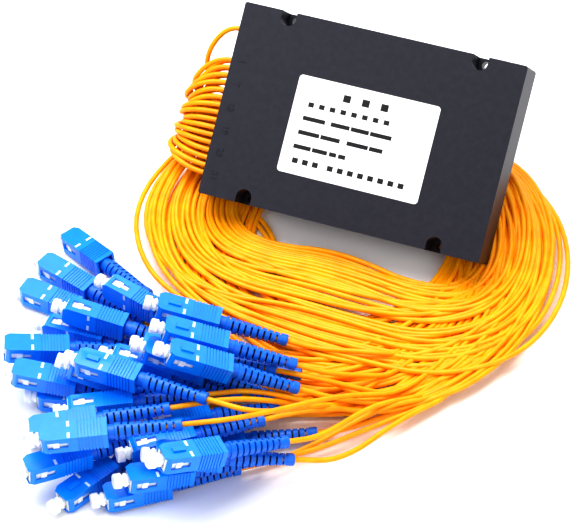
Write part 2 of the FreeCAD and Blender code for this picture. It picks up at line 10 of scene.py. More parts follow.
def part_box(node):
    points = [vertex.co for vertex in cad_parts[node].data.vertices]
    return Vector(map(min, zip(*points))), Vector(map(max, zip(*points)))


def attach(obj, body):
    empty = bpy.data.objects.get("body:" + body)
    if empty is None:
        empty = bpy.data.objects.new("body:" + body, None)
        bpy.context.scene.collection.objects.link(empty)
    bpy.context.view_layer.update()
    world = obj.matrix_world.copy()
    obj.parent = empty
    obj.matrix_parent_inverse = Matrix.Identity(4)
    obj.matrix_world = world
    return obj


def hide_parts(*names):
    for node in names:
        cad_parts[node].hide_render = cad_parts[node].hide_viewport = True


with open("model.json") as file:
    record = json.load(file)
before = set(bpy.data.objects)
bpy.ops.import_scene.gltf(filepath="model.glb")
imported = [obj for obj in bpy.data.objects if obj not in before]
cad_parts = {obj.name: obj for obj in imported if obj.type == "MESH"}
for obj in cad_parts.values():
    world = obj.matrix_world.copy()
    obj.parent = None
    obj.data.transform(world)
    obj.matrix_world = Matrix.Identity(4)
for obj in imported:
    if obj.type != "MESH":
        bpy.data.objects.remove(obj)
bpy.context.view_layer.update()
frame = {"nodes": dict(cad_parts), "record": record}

bl_info = {
    "name": "Fibre splitter with coiled leads",
    "version": (1, 0, 0),
    "blender": (4, 5, 0),
    "location": "3D View > Sidebar > Splitter",
    "description": "Leads, connectors, box and stage of a boxed optical fibre splitter",
    "category": "Object",
}

MM = 0.001
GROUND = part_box("coil")[0][2]                    # the coil lies on the ground
BOX_NORMAL = Vector(frame["record"]["mounts"][0]["axis"])
TILT = math.atan2(-BOX_NORMAL.y, BOX_NORMAL.z)

# The flat box, millimetres: its size, and the ports in its end. The outputs are in two rows from
# FIRST_PORT down, and the input is alone.
BOX_LENGTH, BOX_HEIGHT = 120.0, 18.0
PORT_COLUMNS, PORT_PITCH, PORT_ROW_OFFSET = 16, 3.17, 2.2
FIRST_PORT, INPUT_PORT = 16.0, 29.5

# Where each connector lies, millimetres and degrees: x and y of the middle of the grip's front,
# the height of its axis above the ground, the front's heading, how far it dips, and the roll.
CONNECTORS = [
    (-106, -64, 4.6, 153, 6, 180),
    (-109, -82, 5.7, 165, -3, 180),
    (-110, -98, 5.6, 175, -3, 180),
    (-75, -92, 14.4, 167, -4, 90),
    (-48, -104, 24.2, 193, -15, 0),
    (-35, -126, 37.4, 196, -18, 0),
    (-28, -138, 39.5, 200, -23, 0),
    (-84, -112, 17.3, 184, -8, 90),
    (-93, -113, 5.4, 182, -1, 90),
    (-97, -140, 18.2, 207, -9, 180),
    (-89, -149, 17.1, 193, -9, 180),
    (-61, -148, 32.6, 181, -3, 0),
    (-80, -148, 5.5, 196, -3, 180),
    (-60, -162, 19.4, 208, 1, 90),
    (-59, -186, 29.5, 207, 1, 180),
    (-64, -191, 14.9, 225, -5, 180),
    (-30, -158.5, 18.6, 218, -8, 90),
    (-31, -170, 15.7, 220, -2, 270),
    (-12, -183, 33.5, 226, -17, 0),
    (-50, -192, 4.2, 244, 0, 0),
    (-35, -186, 5.5, 219, -3, 180),
    (-27, -182, 15.1, 219, -9, 180),
    (-54, -132, 4.4, 194, 6, 0),
    (-98, -127, 5.6, 186, -3, 180),
    (-19, -153, 5.0, 208, 0, 90),
    (-55, -132, 20.9, 185, -8, 90),
    (-38, -117, 10.6, 188, 3, 0),
    (-46, -122, 20.7, 188, -3, 0),
    (-41, -131, 29.5, 186, -16, 0),
    (-67, -144, 24.5, 189, -16, 0),
    (-19, -173, 22.4, 209, -13, 0),
    (-66.5, -179.5, 23.9, 211, 2, 180),
    (-70, -167, 4.7, 206, 8, 180),
]

# Each lead's way from its connector to the coil: how far it runs on straight behind the boot,
# then a point on the way and a point in the coil.
TAILS = [
    (15, (-26, -97, 9), (-14, -99, 6)),
    (10.5, (-30, -96, 4), (-16, -96, 3)),
    (12, (-24, -105, 2), (-4, -104, 2)),
    (12, (4, -105, 9), (18, -105, 6)),
    (12, (36, -86, 10), (46, -78, 4)),
    (13, (36, -99, 10), (46, -91, 6)),
    (12.5, (42, -111, 9), (55, -103, 4)),
    (12.5, (-6, -104, 4), (8, -104, 4)),
    (14.5, (-10, -108, 3), (0, -109, 3)),
    (9, (-27, -110, 3), (-12, -112, 3)),
    (20.5, (0, -122, 3), (11, -118, 2)),
    (21, (29, -118, 12), (43, -108, 2)),
    (13.5, (4, -123, 4), (17, -118, 4)),
    (20, (41, -117, 8), (62, -99, 4)),
    (23.5, (34, -115, 16), (53, -100, 6)),
    (22, (12, -124, 5), (32, -116, 4)),
    (13.5, (31, -108, 7), (40, -100, 6)),
    (13.5, (32, -120, 12), (40, -113, 6)),
    (15, (45, -112, 12), (62, -94, 3)),
    (14.5, (-6, -122, 6), (7, -120, 6)),
    (21.5, (47, -111, 10), (66, -94, 4)),
    (19.5, (48, -117, 6), (63, -99, 4)),
    (11.5, (28, -114, 4), (42, -112, 3)),
    (14, (-17, -113, 5), (-4, -113, 4)),
    (10.5, (50, -109, 4), (62, -98, 3)),
    (10, (20, -112, 8), (33, -102, 6)),
    (9, (38, -108, 8), (46, -102, 4)),
    (14.5, (36, -106, 10), (48, -100, 4)),
    (13, (38, -110, 9), (52, -102, 4)),
    (16, (14, -120, 2), (28, -116, 2)),
    (19, (55, -111, 6), (72, -88, 4)),
    (24.5, (18, -122, 11), (40, -112, 4)),
    (10, (-1, -128, 9), (13, -118, 4)),
]

PLUG_REACH = 22.1              # from the grip's front to the boot's front
BOOT_LENGTH = 30.3

# The coil: an oval hole, a roundish outside that is cut short at the back, and its height from
# front to back, as places across the ground with a height each.
COIL_CENTRE, COIL_BACK = (8.0, -34.0), 36.6
COIL_REACH = [(0, 90), (45, 90), (90, 89), (112, 93), (132, 97), (152, 94), (185, 90), (228, 89),
              (256, 95), (285, 99), (320, 93), (360, 90)]    # degrees from the back, and radius
COIL_HOLE_CENTRE, COIL_HOLE_RADII = (2.0, -15.0), (41.0, 26.0)
COIL_PROFILE = [(-122, 4.0), (-108, 8.5), (-50, 8.5), (-38, 5.2), (-23, 5.2), (10, 36.0),
                (30, 29.6), (38, 18.0)]
COIL_END_HEIGHT = 11.0         # past the box's ends
# Over what stretch past the box's ends the height goes over to that: for the heap under the box,
# and for what is lower.
HEAP_BLEND, FLAT_BLEND = (-6, 26), (0, 8)
LEAD_ROOM = 2.2                # what one lead takes up of the coil's height


def linear(value):
    """An sRGB hex colour as linear red, green, blue and alpha."""
    parts = [int(value[i:i + 2], 16) / 255 for i in (1, 3, 5)]
    return [c / 12.92 if c <= 0.04045 else ((c + 0.055) / 1.055) ** 2.4 for c in parts] + [1.0]


def on_box(u, v, w):
    """A point of the flat box, millimetres, in the model's frame."""
    c, s = math.cos(TILT), math.sin(TILT)
    return Vector((u, v * c - w * s, v * s + w * c)) * MM


def on_ground(x, y, z):
    """A point over the ground, millimetres, in the model's frame."""
    return Vector((x * MM, y * MM, GROUND + z * MM))


def connector_matrix(row):
    """A connector's place and turn; its own front is at the origin and looks along +X."""
    x, y, z, heading, dip, roll = row
    turn = Euler([math.radians(a) for a in (roll, dip, heading)]).to_matrix().to_4x4()
    return Matrix.Translation(on_ground(x, y, z)) @ turn


# ---- materials ----
def node(tree, kind, inputs=(), **settings):
    """Add a node; inputs maps a socket to a value or to another node's output."""
    made = tree.nodes.new(kind)
    for name, value in settings.items():
        setattr(made, name, value)
    for name, value in dict(inputs).items():
        if isinstance(value, bpy.types.NodeSocket):
            tree.links.new(value, made.inputs[name])
        else:
            made.inputs[name].default_value = value
    return made


def mottle(tree, shader, place, shades, size_mm):
    """Uneven colour between two shades at a real size."""
    noise = node(tree, "ShaderNodeTexNoise", {
        "Vector": place, "Scale": 1 / (size_mm * MM), "Detail": 3.0})
    ramp = node(tree, "ShaderNodeValToRGB", {"Fac": noise.outputs["Fac"]})
    for element, position, colour in zip(ramp.color_ramp.elements, (0.35, 0.65), shades):
        element.position = position
        element.color = linear(colour)
    tree.links.new(ramp.outputs["Color"], shader.inputs["Base Color"])


def grain(tree, shader, place, size_mm, depth_mm):
    """A fine bump of a real size and depth."""
    noise = node(tree, "ShaderNodeTexNoise", {
        "Vector": place, "Scale": 1 / (size_mm * MM), "Detail": 2.0})
    bump = node(tree, "ShaderNodeBump", {
        "Height": noise.outputs["Fac"], "Strength": 1.0, "Distance": depth_mm * MM})
    tree.links.new(bump.outputs["Normal"], shader.inputs["Normal"])


def material(title, base, roughness, ior=1.5, shades=(), mottle_mm=2, grain_mm=(), **more):
    """A material with a Principled shader, of a base colour or two shades that vary over mottle_mm.

    grain_mm is the size and the depth of a fine bump, and more sets the shader's other sockets."""
    made = bpy.data.materials.new(title)
    made.use_nodes = True
    tree = made.node_tree
    tree.nodes.clear()
    shader = node(tree, "ShaderNodeBsdfPrincipled", {
        "Base Color": linear(base), "Roughness": roughness, "IOR": ior, **more})
    node(tree, "ShaderNodeOutputMaterial", {"Surface": shader.outputs[0]})
    place = node(tree, "ShaderNodeTexCoord").outputs["Object"]
    if shades:
        mottle(tree, shader, place, shades, mottle_mm)
    if grain_mm:
        grain(tree, shader, place, *grain_mm)
    return made


# ---- the leads' ways ----
SEED = 32
# The leads change lanes every quarter turn, clockwise from the back: the share of the coil that
# they take up at the back, the right, the front and the left, for two turns and a start of the
# third. The first turn lies low and inside at the left, the second crosses over it.
LANE_LIMITS = [(0.05, 0.90), (0.0, 0.62), (0.36, 0.93), (0.0, 0.60), (0.05, 0.95),
               (0.28, 0.88), (-0.10, 0.62), (0.24, 0.95), (0.05, 0.92), (0.06, 0.84)]
LANE_CHANGES = len(LANE_LIMITS)
LANE_MIXING = 0.27
LANE_HEIGHTS = [0.5, 0.2, 0.0, 0.0, 0.1, 0.45, 0.55, 0.55, 0.3, 0.3]   # shares of the coil's height
LANE_HEIGHT_RANGE, LAST_HEIGHT = 0.45, 0.6
LEAD_SPREAD, LANE_SPREAD = 0.618, 0.382    # steps that spread the heights within that range
# At which lane changes the outermost lead stands off the others, and how far; how much of that the
# lead beside it does; and above which ranks the two are.
OUTLIERS, NEXT_OUTLIER, OUTLIER_RANKS = {5: 0.11, 7: 0.07}, 0.4, (0.97, 0.94)
STRAYS = {4: 0.30, 9: 0.24, 21: 0.27, 13: 0.12}   # leads that cut across the coil's hole
# Degrees: the middle of the strays' way across, how many of a wave go to one of the turn, and
# where they are back in their lanes.
STRAY_MIDDLE, STRAY_RATE, STRAY_END = 220, 2.2, 270
# Degrees: where a lead's points in the coil start, their step, and how far before its end they
# stop. A turn of the coil has fourteen points.
FIRST_STATION, STATION_STEP, LAST_GAP = -22, 26, 16
# Where a lead may leave the coil: degrees, and shares across it.
LEAVING_ANGLES, LEAVING_SHARES = range(80, 260, 2), [s / 40 for s in range(-8, 49)]

# The turn round the box's end, millimetres. The leads of the ports draw together about a middle at
# its far side, and more where they run back under the box.
PORT_MIDDLE = -7.75
FAR_MIDDLE, FAR_SPREAD = -11, 0.52
UNDER_MIDDLE, UNDER_SPREAD = -8, 0.35
UNDER_LEVEL, UNDER_DEPTH = -19, 3
UPPER_REACH, LOWER_REACH = 16.5, 13.5      # how far the rows stand out from the box's end
REACH_GAIN, REACH_SPAN = 2.5, 47           # more for the later ports
REACH_WAVE, REACH_WAVE_STEP = 1.6, 2.3     # unevenly, by port
# The input lead's points: out from the box's end, across from its port, and above the box's middle.
INPUT_ROUTE = [(0, 0, 0), (5, 0, 0), (10.5, -4, -1), (14.5, -12, -3), (15, -20, -8), (9, -27, -16),
               (-8, -30, -21)]


def behind(row, distance):
    """A point on a connector's axis, so many millimetres behind its boot's front."""
    return connector_matrix(row) @ Vector((-(PLUG_REACH + distance) * MM, 0, 0))


def between(table, place):
    """The value at a place in a table of places and values."""
    place = max(table[0][0], min(table[-1][0], place))
    for (x0, y0), (x1, y1) in zip(table, table[1:]):
        if place <= x1:
            return y0 + (y1 - y0) * (place - x0) / (x1 - x0)


def pile_height(x, y):
    """The coil's height there: a heap under the box, low where the box's edge is, flat around."""
    height = between(COIL_PROFILE, y)
    blend = HEAP_BLEND if height > COIL_END_HEIGHT else FLAT_BLEND
    start, end = [BOX_LENGTH / 2 + past for past in blend]
    open_side = min(1, max(0, (abs(x) - start) / (end - start)))
    return height + (COIL_END_HEIGHT - height) * open_side


def coil_place(angle, across):
    """Millimetres over the ground: across is 0 at the coil's hole and 1 at its outside."""
    s, c = math.sin(math.radians(angle)), math.cos(math.radians(angle))
    hx, hy = COIL_HOLE_CENTRE
    rx, ry = COIL_HOLE_RADII
    cx, cy = COIL_CENTRE
    outer = between(COIL_REACH, angle % 360)
    inside = Vector((hx + rx * s, hy + ry * c))
    outside = Vector((cx + outer * s, min(cy + outer * c, COIL_BACK)))
    return inside.lerp(outside, across)


def coil_point(angle, across, up):
    """A point in the coil; up is 0 on the ground and 1 at the coil's top."""
    x, y = coil_place(angle, across)
    return on_ground(x, y, LEAD_ROOM / 2 + up * (pile_height(x, y) - LEAD_ROOM))


def nearest_place(point):
    """The angle and the share across the coil of a point over the ground."""
    tries = [(angle, across) for angle in LEAVING_ANGLES for across in LEAVING_SHARES]
    return min(tries, key=lambda t: (coil_place(*t) - Vector(point[:2])).length)


def ranked(keys):
    """Each key's place in order, spread evenly from 0 to 1."""
    order = sorted(range(len(keys)), key=lambda i: keys[i])
    place = {i: n for n, i in enumerate(order)}
    return [(place[i] + 0.5) / len(keys) for i in range(len(keys))]


def lead_ports(rng):
    """Which port each connector's lead comes from; the last number is the input port."""
    ports = list(range(2 * PORT_COLUMNS + 1))
    rng.shuffle(ports)
    return ports


def port_route(port, rank):
    """From the port round the box's end to a place under the box, gathered by rank."""
    end = -BOX_LENGTH / 2
    if port == 2 * PORT_COLUMNS:
        return [on_box(end - out, INPUT_PORT + across, w) for out, across, w in INPUT_ROUTE]
    v = FIRST_PORT - (port // 2) * PORT_PITCH
    w = PORT_ROW_OFFSET * (1 - 2 * (port % 2))
    far = FAR_MIDDLE + FAR_SPREAD * (v - PORT_MIDDLE)
    under = UNDER_MIDDLE + UNDER_SPREAD * (v - PORT_MIDDLE)
    reach = ((UPPER_REACH if w > 0 else LOWER_REACH) + REACH_GAIN * (FIRST_PORT - v) / REACH_SPAN
             + REACH_WAVE * math.sin(port * REACH_WAVE_STEP))
    low = UNDER_LEVEL - UNDER_DEPTH * rank
    # Along, across and above the box: straight out, out and down round the far side, back under.
    return [
        on_box(end, v, w), on_box(end - 6, v, w),
        on_box(end - 0.8 * reach, v + 0.35 * (far - v), w - 0.8),
        on_box(end - reach - 2, v + 0.85 * (far - v), w - 6),
        on_box(end - reach - 1, far + 0.5 * (under - far), 0.7 * low),
        on_box(end - 8, under, low), on_box(end + 9, under, low - 1),
    ]


def outlier_share(rank):
    """How far a lead stands off the others: the outermost does, and the one beside it in part."""
    outermost, beside = OUTLIER_RANKS
    return 1 if rank > outermost else NEXT_OUTLIER if rank > beside else 0


def lane_table(rng, first, last):
    """At every lane change each lead's place across the coil, from its first and last ranks."""
    lanes = []
    for turn, (low, high) in enumerate(LANE_LIMITS):
        share = turn / LANE_CHANGES
        keys = [a + share * (b - a) + LANE_MIXING * rng.random() for a, b in zip(first, last)]
        off = OUTLIERS.get(turn, 0)
        lanes.append([low + (high - low) * r + off * outlier_share(r) for r in ranked(keys)])
    return lanes


def stray_distance(lead, station):
    """How much nearer to the hole a stray lead runs at a station, as a share of the coil."""
    wave = math.cos(math.radians(STRAY_RATE * (station - STRAY_MIDDLE)))
    return STRAYS.get(lead, 0) * max(0, wave) if station < STRAY_END else 0


def coil_route(lead, rank, lanes, angle, across):
    """A lead's points in the coil, from the back to where it leaves in the third turn."""
    own = [lane[lead] for lane in lanes] + [across]
    spread = [(rank * len(CONNECTORS) * LEAD_SPREAD + n * LANE_SPREAD) % 1
              for n in range(LANE_CHANGES)]
    heights = [low + LANE_HEIGHT_RANGE * up for low, up in zip(LANE_HEIGHTS, spread)]
    heights.append(LAST_HEIGHT)
    angles = [90 * n for n in range(LANE_CHANGES)] + [2 * 360 + angle]
    points = []
    station = FIRST_STATION
    while station < angles[-1] - LAST_GAP:
        k = max(0, min(LANE_CHANGES - 1, int(station // 90)))
        t = max(0, min(1, (station - angles[k]) / (angles[k + 1] - angles[k])))
        t = t * t * (3 - 2 * t)
        points.append(coil_point(
            station, own[k] + t * (own[k + 1] - own[k]) - stray_distance(lead, station),
            heights[k] + t * (heights[k + 1] - heights[k])))
        station += STATION_STEP
    return points


def lead_routes():
    """The control points of every lead, from its port to its plug."""
    rng = random.Random(SEED)
    ports = lead_ports(rng)
    ends = [nearest_place(in_the_coil) for _, _, in_the_coil in TAILS]
    first = ranked([-(port // 2) - 0.1 * (port % 2) for port in ports])
    last = ranked([across for _, across in ends])
    lanes = lane_table(rng, first, last)
    routes = []
    for lead, (row, (run, on_the_way, in_the_coil)) in enumerate(zip(CONNECTORS, TAILS)):
        routes.append([
            *port_route(ports[lead], first[lead]),
            *coil_route(lead, first[lead], lanes, *ends[lead]),
            on_ground(*in_the_coil), on_ground(*on_the_way), behind(row, BOOT_LENGTH + run),
            behind(row, BOOT_LENGTH), behind(row, 1)])
    return routes


SPLINE_STEPS, TUBE_ROUNDNESS = 6, 3


def spline(name, points, radius):
    """A NURBS tube whose control points are the route's points."""
    data = bpy.data.curves.new(name, "CURVE")
    data.dimensions = "3D"
    line = data.splines.new("NURBS")
    line.points.add(len(points) - 1)
    for place, point in zip(line.points, points):
        place.co = (*point, 1)
        place.radius = radius
    line.order_u = 3
    line.use_endpoint_u = True
    data.resolution_u = SPLINE_STEPS
    data.bevel_depth = 1.0         # times each point's radius
    data.bevel_resolution = TUBE_ROUNDNESS
    data.use_fill_caps = True
    made = bpy.data.objects.new(name, data)
    bpy.context.scene.collection.objects.link(made)
    return made


def line_length(made):
    """The length of a spline's own line."""
    depth, made.data.bevel_depth = made.data.bevel_depth, 0
    bpy.context.view_layer.update()
    mesh = bpy.data.meshes.new_from_object(
        made.evaluated_get(bpy.context.evaluated_depsgraph_get()))
    made.data.bevel_depth = depth
    points = [v.co.copy() for v in mesh.vertices]
    bpy.data.meshes.remove(mesh)
    return sum((b - a).length for a, b in zip(points, points[1:]))


class LeadSettings(bpy.types.PropertyGroup):
    diameter: bpy.props.FloatProperty(
        name="Diameter", description="Of each lead over its jacket", default=2.1 * MM,
        unit="LENGTH")


class SPLITTER_OT_leads(bpy.types.Operator):
    """Lay the leads from the box through the coil to their connectors"""
    bl_idname = "splitter.leads"
    bl_label = "Leads"

    def execute(self, context):
        settings = context.scene.splitter_leads
        # LSZH jacket, extruded: smooth and slightly waxy, so highlights are long and soft.
        jacket = material(
            "LSZH jacket yellow", "#ffaa10", 0.38, shades=("#ffa20c", "#ffb114"), mottle_mm=6,
            grain_mm=(0.5, 0.006), **{"Specular IOR Level": 0.35})
        for number, points in enumerate(lead_routes(), 1):
            lead = spline("lead_%02d" % number, points, settings.diameter / 2)
            lead.data.materials.append(jacket)
            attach(lead, "splitter")
            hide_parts("port_leads", "port_turn", "coil", "tail_leads")
            line_length(lead)
        return {"FINISHED"}


# ---- shapes ----
JOIN_DISTANCE = 0.004 * MM     # points nearer than this are one
FLAT_ANGLE, SMOOTH_ANGLE, EDGE_ANGLE = [math.radians(angle) for angle in (1.5, 18, 40)]
EDGE_SEGMENTS = 2


def link(name, mesh, *materials):
    """A piece at the origin that shows a mesh; materials go to its slots in order."""
    mesh.name = name
    for finish in materials:
        mesh.materials.append(finish)
    made = bpy.data.objects.new(name, mesh)
    bpy.context.scene.collection.objects.link(made)
    return made


def from_bmesh(bm):
    """A new mesh with the shape that was being edited, which is let go."""
    mesh = bpy.data.meshes.new("mesh")
    bm.to_mesh(mesh)
    bm.free()
    return mesh


def from_cad(name):
    """A copy of a node's mesh with its loose triangles joined into whole faces."""
    bm = bmesh.new()
    bm.from_mesh(frame["nodes"][name].data)
    bmesh.ops.remove_doubles(bm, verts=bm.verts, dist=JOIN_DISTANCE)
    bmesh.ops.dissolve_limit(bm, angle_limit=FLAT_ANGLE, verts=bm.verts, edges=bm.edges)
    bmesh.ops.recalc_face_normals(bm, faces=bm.faces)
    for face in bm.faces:
        face.material_index = 0
    return from_bmesh(bm)


def settle(made):
    """Turn a piece's modifiers into its plain mesh, smooth except at its edges."""
    bpy.context.view_layer.update()
    mesh = bpy.data.meshes.new_from_object(
        made.evaluated_get(bpy.context.evaluated_depsgraph_get()))
    made.modifiers.clear()
    made.data = mesh
    mesh.polygons.foreach_set("use_smooth", [True] * len(mesh.polygons))
    mesh.set_sharp_from_angle(angle=SMOOTH_ANGLE)


def ease_edges(made, width_mm):
    """Round a piece's edges."""
    bevel = made.modifiers.new("eased edges", "BEVEL")
    bevel.width = width_mm * MM
    bevel.segments = EDGE_SEGMENTS
    bevel.limit_method = "ANGLE"
    bevel.angle_limit = EDGE_ANGLE
    settle(made)


def lathe(profile, sides):
    """A closed profile of (x, radius) pairs in millimetres, turned about the X axis."""
    bm = bmesh.new()
    rings = []
    for i in range(sides):
        turn = 2 * math.pi * i / sides
        rings.append([bm.verts.new((x * MM, r * math.cos(turn) * MM, r * math.sin(turn) * MM))
                      for x, r in profile])
    for ring, after in zip(rings, rings[1:] + rings[:1]):
        for k in range(len(profile)):
            n = (k + 1) % len(profile)
            bm.faces.new((ring[k], ring[n], after[n], after[k]))
    bmesh.ops.remove_doubles(bm, verts=bm.verts, dist=JOIN_DISTANCE)
    bmesh.ops.recalc_face_normals(bm, faces=bm.faces)
    return from_bmesh(bm)


def add_block(bm, low, high, place=lambda p: p, index=0):
    """Add a block between two corners in millimetres; place moves each of its points."""
    corners = bmesh.ops.create_cube(bm, size=1)["verts"]
    for vert in corners:
        point = [(a + b) / 2 + (b - a) * c for a, b, c in zip(low, high, vert.co)]
        vert.co = place(Vector(point) * MM)
    for face in {face for vert in corners for face in vert.link_faces}:
        face.material_index = index


def copies(master):
    """One mesh that holds the master at every connector."""
    bm = bmesh.new()
    for row in CONNECTORS:
        mesh = master.copy()
        mesh.transform(connector_matrix(row))
        bm.from_mesh(mesh)
        bpy.data.meshes.remove(mesh)
    return from_bmesh(bm)


# ---- Geometry Nodes ----
THROUGH = 10 * MM              # enough for a cutter to go through any part of a connector
CLEAR = 1 * MM                 # how much wider a hoop is than the sleeve it cuts


def new_tree(name, inputs):
    """A tree with a geometry input, named number inputs, a material input and an output."""
    tree = bpy.data.node_groups.new(name, "GeometryNodeTree")
    tree.is_modifier = True
    tree.interface.new_socket("Geometry", in_out="INPUT", socket_type="NodeSocketGeometry")
    for label in inputs:
        kind = "NodeSocketMaterial" if label == "Finish" else (
            "NodeSocketInt" if label == "Count" else "NodeSocketFloat")
        tree.interface.new_socket(label, in_out="INPUT", socket_type=kind)
    tree.interface.new_socket("Geometry", in_out="OUTPUT", socket_type="NodeSocketGeometry")
    given = tree.nodes.new("NodeGroupInput").outputs
    return tree, given, tree.nodes.new("NodeGroupOutput")


def vector(tree, x=0.0, y=0.0, z=0.0):
    """A vector of numbers or other nodes' outputs."""
    return node(tree, "ShaderNodeCombineXYZ", {"X": x, "Y": y, "Z": z}).outputs[0]


def maths(tree, kind, a, b):
    """The result of a sum of two numbers."""
    return node(tree, "ShaderNodeMath", {0: a, 1: b}, operation=kind).outputs[0]


def block(tree, length, width, height):
    """A block about the origin."""
    size = vector(tree, length, width, height)
    return node(tree, "GeometryNodeMeshCube", {"Size": size}).outputs["Mesh"]


def points_along(tree, count, start, step):
    """Points at an even step along X."""
    return node(tree, "GeometryNodeMeshLine", {
        "Count": count, "Start Location": vector(tree, start),
        "Offset": vector(tree, step)}).outputs["Mesh"]


def difference(tree, whole, cutter):
    """One mesh less another."""
    made = node(tree, "GeometryNodeMeshBoolean", operation="DIFFERENCE", solver="EXACT")
    tree.links.new(whole, made.inputs["Mesh 1"])
    tree.links.new(cutter, made.inputs["Mesh 2"])
    return made.outputs["Mesh"]


def cut_at_points(tree, given, out, points, cutter):
    """Cut the piece at every point, give it its finish and end the tree."""
    many = node(tree, "GeometryNodeInstanceOnPoints", {"Points": points, "Instance": cutter})
    real = node(tree, "GeometryNodeRealizeInstances", {"Geometry": many.outputs[0]})
    finish = node(tree, "GeometryNodeSetMaterial", {
        "Geometry": difference(tree, given["Geometry"], real.outputs[0]),
        "Material": given["Finish"]})
    tree.links.new(finish.outputs[0], out.inputs[0])
    return tree


def slot_tree():
    """Slots cut into a bend guard from both sides in turn, at an even pitch along X."""
    tree, given, out = new_tree("bend guard slots", [
        "First slot", "Half pitch", "Count", "Width", "Web", "Finish"])
    line = points_along(tree, given["Count"], given["First slot"], given["Half pitch"])
    number = node(tree, "GeometryNodeInputIndex").outputs[0]
    odd = maths(tree, "MODULO", number, 2.0)
    side = maths(tree, "SUBTRACT", maths(tree, "MULTIPLY", odd, 2.0), 1.0)
    middle = maths(tree, "ADD", given["Web"], SLOT_REACH * MM / 2)
    moved = node(tree, "GeometryNodeSetPosition", {
        "Geometry": line, "Offset": vector(tree, 0.0, maths(tree, "MULTIPLY", side, middle))})
    cutter = block(tree, given["Width"], SLOT_REACH * MM, THROUGH)
    return cut_at_points(tree, given, out, moved.outputs[0], cutter)


def groove_tree():
    """Grooves cut round a rectangular sleeve, at an even pitch along X."""
    tree, given, out = new_tree("grip grooves", [
        "First groove", "Pitch", "Count", "Groove width", "Sleeve width", "Sleeve height",
        "Depth", "Finish"])

    def sleeve_block(length, wider):
        """A block of the sleeve's width and height, and so much wider and higher."""
        return block(tree, length, *[
            maths(tree, "ADD", given[side], wider) for side in ("Sleeve width", "Sleeve height")])

    outside = sleeve_block(given["Groove width"], CLEAR)
    inside = sleeve_block(THROUGH, maths(tree, "MULTIPLY", given["Depth"], -2.0))
    line = points_along(tree, given["Count"], given["First groove"], given["Pitch"])
    return cut_at_points(tree, given, out, line, difference(tree, outside, inside))


def grow(made, tree, **values):
    """Run a tree on a piece; values are its inputs with spaces as underscores."""
    modifier = made.modifiers.new(tree.name, "NODES")
    modifier.node_group = tree
    for item in tree.interface.items_tree:
        key = item.name.replace(" ", "_")
        if item.in_out == "INPUT" and key in values:
            modifier[item.identifier] = values[key]
    settle(made)


# ---- connectors ----
# Millimetres from the grip's front and from the connector's axis.
GRIP_WIDTH, GRIP_HEIGHT, GRIP_EDGE = 9, 7.4, 0.22
WINDOW_TAIL = (-10.3, -6, -1.15), (-6.9, 6, 1.15)      # two corners
FIRST_GROOVE, GROOVE_PITCH, GROOVE_WIDTH, GROOVE_DEPTH = -14.3, -1.2, 0.46, 0.3
MARK_LENGTH, MARK_WIDTH, MARK_HEIGHT = (-11.2, -10.2), (1.5, 4.1), (3.5, 3.73)     # from, to
BOOT_FRONT, BOOT_END = -PLUG_REACH, -PLUG_REACH - BOOT_LENGTH
FIRST_SLOT, SLOT_HALF_PITCH, SLOT_WEB, SLOT_REACH = BOOT_FRONT - 6.8, -1.27, 0.25, 4.0
# Closed profiles, as places along the axis with a radius each, and how many sides go round.
SIDES, CRIMP_SIDES = 24, 16
BOOT_PROFILE = [
    (BOOT_FRONT, 1.9), (BOOT_FRONT, 2.7), (BOOT_FRONT - 0.3, 2.85), (BOOT_FRONT - 5.3, 2.85),
    (BOOT_FRONT - 5.5, 3.3), (BOOT_END + 3, 2.2), (BOOT_END + 2.7, 2.4), (BOOT_END + 0.3, 2.4),
    (BOOT_END, 2.2), (BOOT_END, 1.2), (BOOT_END + 3, 1.2), (BOOT_FRONT - 18, 1.9)]
CRIMP_PROFILE = [
    (BOOT_FRONT - 0.2, 1.1), (BOOT_FRONT - 0.2, 1.8), (BOOT_FRONT - 15, 1.75),
    (BOOT_FRONT - 17, 1.4), (BOOT_FRONT - 24, 1.3), (BOOT_FRONT - 24, 1.1)]
CAP_PROFILE = [
    (-4.4, 1.35), (-4.4, 1.9), (-4.0, 2.1), (0.2, 2.1), (0.3, 2.5), (0.45, 2.6), (1.15, 2.6),
    (1.3, 2.5), (1.4, 2.1), (2.2, 2.1), (2.35, 2.8), (2.6, 2.95), (4.8, 2.85), (5.15, 2.55),
    (5.15, 1.2), (4.9, 0.0), (1.6, 0.0), (1.6, 1.35)]


class ConnectorSettings(bpy.types.PropertyGroup):
    grip_colour: bpy.props.StringProperty(
        name="Grip colour", description="sRGB hex value of the grips", default="#0486f6")
    boot_colour: bpy.props.StringProperty(
        name="Boot colour", description="sRGB hex value of the bend guards", default="#0668d8")
    slots: bpy.props.IntProperty(
        name="Slots", description="In each bend guard, both sides together", default=17)
    slot_width: bpy.props.FloatProperty(
        name="Slot width", description="Of each slot along the bend guard", default=0.72 * MM,
        unit="LENGTH")
    grooves: bpy.props.IntProperty(
        name="Grooves", description="Round each grip's rear", default=8)


